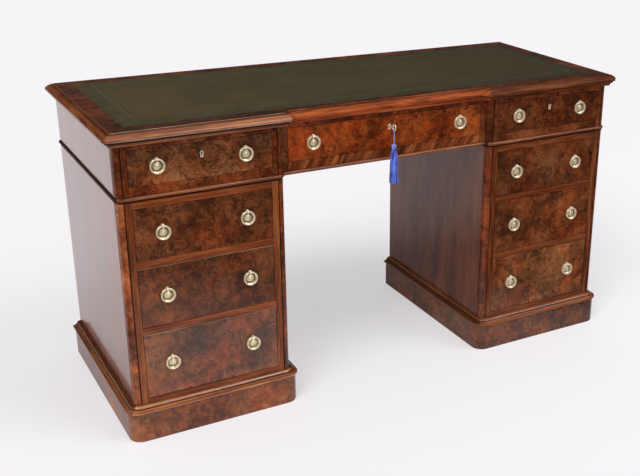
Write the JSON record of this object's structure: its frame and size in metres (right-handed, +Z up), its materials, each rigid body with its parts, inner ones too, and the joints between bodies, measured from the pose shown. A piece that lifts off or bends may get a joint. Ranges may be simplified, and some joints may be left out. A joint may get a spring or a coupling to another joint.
{
  "type": "pedestal desk",
  "caption": "Walnut pedestal desk with a set-back centre, leather-topped moulded top, sliding drawers with swinging ring pulls, locks with throwing bolts and a tasselled key.",
  "frame": {"origin": "on the floor under the middle of the desk's outline", "axes": "+X to the right along the desk as its user sits at it, -Y out of the drawer fronts, +Z up"},
  "size_m": [1.455, 0.588, 0.775],
  "materials": {
    "walnut": "polished straight-grained walnut",
    "burr_walnut": "polished burr walnut veneer",
    "oak": "plain waxed oak",
    "green_leather": "dark olive-green hide, satin",
    "brass": "polished pale brass",
    "steel": "worn bright steel",
    "blue_silk": "cobalt blue twisted silk"
  },
  "bodies": {
    "desk": {"top_board": "walnut", "writing_leather": "green_leather", "frieze_case": "walnut", "left_pedestal_carcass": "walnut", "left_pedestal_frame": "walnut", "left_plinth": "burr_walnut", "right_pedestal_carcass": "walnut", "right_pedestal_frame": "walnut", "right_plinth": "burr_walnut"},
    "centre_drawer": {"centre_drawer_front": "burr_walnut", "centre_drawer_box": "oak", "centre_drawer_brasses": "brass"},
    "centre_1_ring": {"centre_1_ring": "brass"},
    "centre_2_ring": {"centre_2_ring": "brass"},
    "left_frieze_drawer": {"left_frieze_drawer_front": "burr_walnut", "left_frieze_drawer_box": "oak", "left_frieze_drawer_brasses": "brass"},
    "left_frieze_1_ring": {"left_frieze_1_ring": "brass"},
    "left_frieze_2_ring": {"left_frieze_2_ring": "brass"},
    "right_frieze_drawer": {"right_frieze_drawer_front": "burr_walnut", "right_frieze_drawer_box": "oak", "right_frieze_drawer_brasses": "brass"},
    "right_frieze_1_ring": {"right_frieze_1_ring": "brass"},
    "right_frieze_2_ring": {"right_frieze_2_ring": "brass"},
    "left_upper_drawer": {"left_upper_drawer_front": "burr_walnut", "left_upper_drawer_box": "oak", "left_upper_drawer_brasses": "brass"},
    "left_upper_1_ring": {"left_upper_1_ring": "brass"},
    "left_upper_2_ring": {"left_upper_2_ring": "brass"},
    "left_middle_drawer": {"left_middle_drawer_front": "burr_walnut", "left_middle_drawer_box": "oak", "left_middle_drawer_brasses": "brass"},
    "left_middle_1_ring": {"left_middle_1_ring": "brass"},
    "left_middle_2_ring": {"left_middle_2_ring": "brass"},
    "left_lower_drawer": {"left_lower_drawer_front": "burr_walnut", "left_lower_drawer_box": "oak", "left_lower_drawer_brasses": "brass"},
    "left_lower_1_ring": {"left_lower_1_ring": "brass"},
    "left_lower_2_ring": {"left_lower_2_ring": "brass"},
    "right_upper_drawer": {"right_upper_drawer_front": "burr_walnut", "right_upper_drawer_box": "oak", "right_upper_drawer_brasses": "brass"},
    "right_upper_1_ring": {"right_upper_1_ring": "brass"},
    "right_upper_2_ring": {"right_upper_2_ring": "brass"},
    "right_middle_drawer": {"right_middle_drawer_front": "burr_walnut", "right_middle_drawer_box": "oak", "right_middle_drawer_brasses": "brass"},
    "right_middle_1_ring": {"right_middle_1_ring": "brass"},
    "right_middle_2_ring": {"right_middle_2_ring": "brass"},
    "right_lower_drawer": {"right_lower_drawer_front": "burr_walnut", "right_lower_drawer_box": "oak", "right_lower_drawer_brasses": "brass"},
    "right_lower_1_ring": {"right_lower_1_ring": "brass"},
    "right_lower_2_ring": {"right_lower_2_ring": "brass"},
    "centre_lock_bolt": {"centre_lock_bolt": "steel"},
    "left_frieze_lock_bolt": {"left_frieze_lock_bolt": "steel"},
    "right_frieze_lock_bolt": {"right_frieze_lock_bolt": "steel"},
    "key": {"key": "brass"},
    "tassel": {"tassel_cord": "blue_silk", "tassel": "blue_silk"}
  },
  "joints": [
    {"name": "centre_drawer_slide", "type": "slide", "parent": "desk", "child": "centre_drawer", "axis": [0, -1, 0], "range_m": [0, 0.38]},
    {"name": "centre_1_ring_swing", "type": "hinge", "parent": "centre_drawer", "child": "centre_1_ring", "pos_m": [-0.214, -0.261, 0.704], "axis": [-1, 0, 0], "range_deg": [0, 100]},
    {"name": "centre_2_ring_swing", "type": "hinge", "parent": "centre_drawer", "child": "centre_2_ring", "pos_m": [0.214, -0.261, 0.704], "axis": [-1, 0, 0], "range_deg": [0, 100]},
    {"name": "left_frieze_drawer_slide", "type": "slide", "parent": "desk", "child": "left_frieze_drawer", "axis": [0, -1, 0], "range_m": [0, 0.38]},
    {"name": "left_frieze_1_ring_swing", "type": "hinge", "parent": "left_frieze_drawer", "child": "left_frieze_1_ring", "pos_m": [-0.608, -0.2775, 0.704], "axis": [-1, 0, 0], "range_deg": [0, 100]},
    {"name": "left_frieze_2_ring_swing", "type": "hinge", "parent": "left_frieze_drawer", "child": "left_frieze_2_ring", "pos_m": [-0.396, -0.2775, 0.704], "axis": [-1, 0, 0], "range_deg": [0, 100]},
    {"name": "right_frieze_drawer_slide", "type": "slide", "parent": "desk", "child": "right_frieze_drawer", "axis": [0, -1, 0], "range_m": [0, 0.38]},
    {"name": "right_frieze_1_ring_swing", "type": "hinge", "parent": "right_frieze_drawer", "child": "right_frieze_1_ring", "pos_m": [0.396, -0.2775, 0.704], "axis": [-1, 0, 0], "range_deg": [0, 100]},
    {"name": "right_frieze_2_ring_swing", "type": "hinge", "parent": "right_frieze_drawer", "child": "right_frieze_2_ring", "pos_m": [0.608, -0.2775, 0.704], "axis": [-1, 0, 0], "range_deg": [0, 100]},
    {"name": "left_upper_drawer_slide", "type": "slide", "parent": "desk", "child": "left_upper_drawer", "axis": [0, -1, 0], "range_m": [0, 0.38]},
    {"name": "left_upper_1_ring_swing", "type": "hinge", "parent": "left_upper_drawer", "child": "left_upper_1_ring", "pos_m": [-0.6055, -0.2775, 0.54385], "axis": [-1, 0, 0], "range_deg": [0, 100]},
    {"name": "left_upper_2_ring_swing", "type": "hinge", "parent": "left_upper_drawer", "child": "left_upper_2_ring", "pos_m": [-0.3985, -0.2775, 0.54385], "axis": [-1, 0, 0], "range_deg": [0, 100]},
    {"name": "left_middle_drawer_slide", "type": "slide", "parent": "desk", "child": "left_middle_drawer", "axis": [0, -1, 0], "range_m": [0, 0.38]},
    {"name": "left_middle_1_ring_swing", "type": "hinge", "parent": "left_middle_drawer", "child": "left_middle_1_ring", "pos_m": [-0.6055, -0.2775, 0.38535], "axis": [-1, 0, 0], "range_deg": [0, 100]},
    {"name": "left_middle_2_ring_swing", "type": "hinge", "parent": "left_middle_drawer", "child": "left_middle_2_ring", "pos_m": [-0.3985, -0.2775, 0.38535], "axis": [-1, 0, 0], "range_deg": [0, 100]},
    {"name": "left_lower_drawer_slide", "type": "slide", "parent": "desk", "child": "left_lower_drawer", "axis": [0, -1, 0], "range_m": [0, 0.38]},
    {"name": "left_lower_1_ring_swing", "type": "hinge", "parent": "left_lower_drawer", "child": "left_lower_1_ring", "pos_m": [-0.6055, -0.2775, 0.20685], "axis": [-1, 0, 0], "range_deg": [0, 100]},
    {"name": "left_lower_2_ring_swing", "type": "hinge", "parent": "left_lower_drawer", "child": "left_lower_2_ring", "pos_m": [-0.3985, -0.2775, 0.20685], "axis": [-1, 0, 0], "range_deg": [0, 100]},
    {"name": "right_upper_drawer_slide", "type": "slide", "parent": "desk", "child": "right_upper_drawer", "axis": [0, -1, 0], "range_m": [0, 0.38]},
    {"name": "right_upper_1_ring_swing", "type": "hinge", "parent": "right_upper_drawer", "child": "right_upper_1_ring", "pos_m": [0.3985, -0.2775, 0.54385], "axis": [-1, 0, 0], "range_deg": [0, 100]},
    {"name": "right_upper_2_ring_swing", "type": "hinge", "parent": "right_upper_drawer", "child": "right_upper_2_ring", "pos_m": [0.6055, -0.2775, 0.54385], "axis": [-1, 0, 0], "range_deg": [0, 100]},
    {"name": "right_middle_drawer_slide", "type": "slide", "parent": "desk", "child": "right_middle_drawer", "axis": [0, -1, 0], "range_m": [0, 0.38]},
    {"name": "right_middle_1_ring_swing", "type": "hinge", "parent": "right_middle_drawer", "child": "right_middle_1_ring", "pos_m": [0.3985, -0.2775, 0.38535], "axis": [-1, 0, 0], "range_deg": [0, 100]},
    {"name": "right_middle_2_ring_swing", "type": "hinge", "parent": "right_middle_drawer", "child": "right_middle_2_ring", "pos_m": [0.6055, -0.2775, 0.38535], "axis": [-1, 0, 0], "range_deg": [0, 100]},
    {"name": "right_lower_drawer_slide", "type": "slide", "parent": "desk", "child": "right_lower_drawer", "axis": [0, -1, 0], "range_m": [0, 0.38]},
    {"name": "right_lower_1_ring_swing", "type": "hinge", "parent": "right_lower_drawer", "child": "right_lower_1_ring", "pos_m": [0.3985, -0.2775, 0.20685], "axis": [-1, 0, 0], "range_deg": [0, 100]},
    {"name": "right_lower_2_ring_swing", "type": "hinge", "parent": "right_lower_drawer", "child": "right_lower_2_ring", "pos_m": [0.6055, -0.2775, 0.20685], "axis": [-1, 0, 0], "range_deg": [0, 100]},
    {"name": "centre_bolt_throw", "type": "slide", "parent": "centre_drawer", "child": "centre_lock_bolt", "axis": [0, 0, 1], "range_m": [0, 0.007]},
    {"name": "left_frieze_bolt_throw", "type": "slide", "parent": "left_frieze_drawer", "child": "left_frieze_lock_bolt", "axis": [0, 0, 1], "range_m": [0, 0.007]},
    {"name": "right_frieze_bolt_throw", "type": "slide", "parent": "right_frieze_drawer", "child": "right_frieze_lock_bolt", "axis": [0, 0, 1], "range_m": [0, 0.007]},
    {"name": "key_turn", "type": "hinge", "parent": "centre_drawer", "child": "key", "pos_m": [0, -0.255, 0.7046], "axis": [0, 1, 0], "range_deg": [0, 90]},
    {"name": "tassel_hang", "type": "hinge", "parent": "key", "child": "tassel", "pos_m": [0, -0.28, 0.6971], "axis": [0, 1, 0], "range_deg": [-90, 0]}
  ],
  "couplings": [
    {"joint": "centre_bolt_throw", "follows": "key_turn", "m_per_rad": 0.0044563},
    {"joint": "tassel_hang", "follows": "key_turn", "ratio": -1}
  ]
}
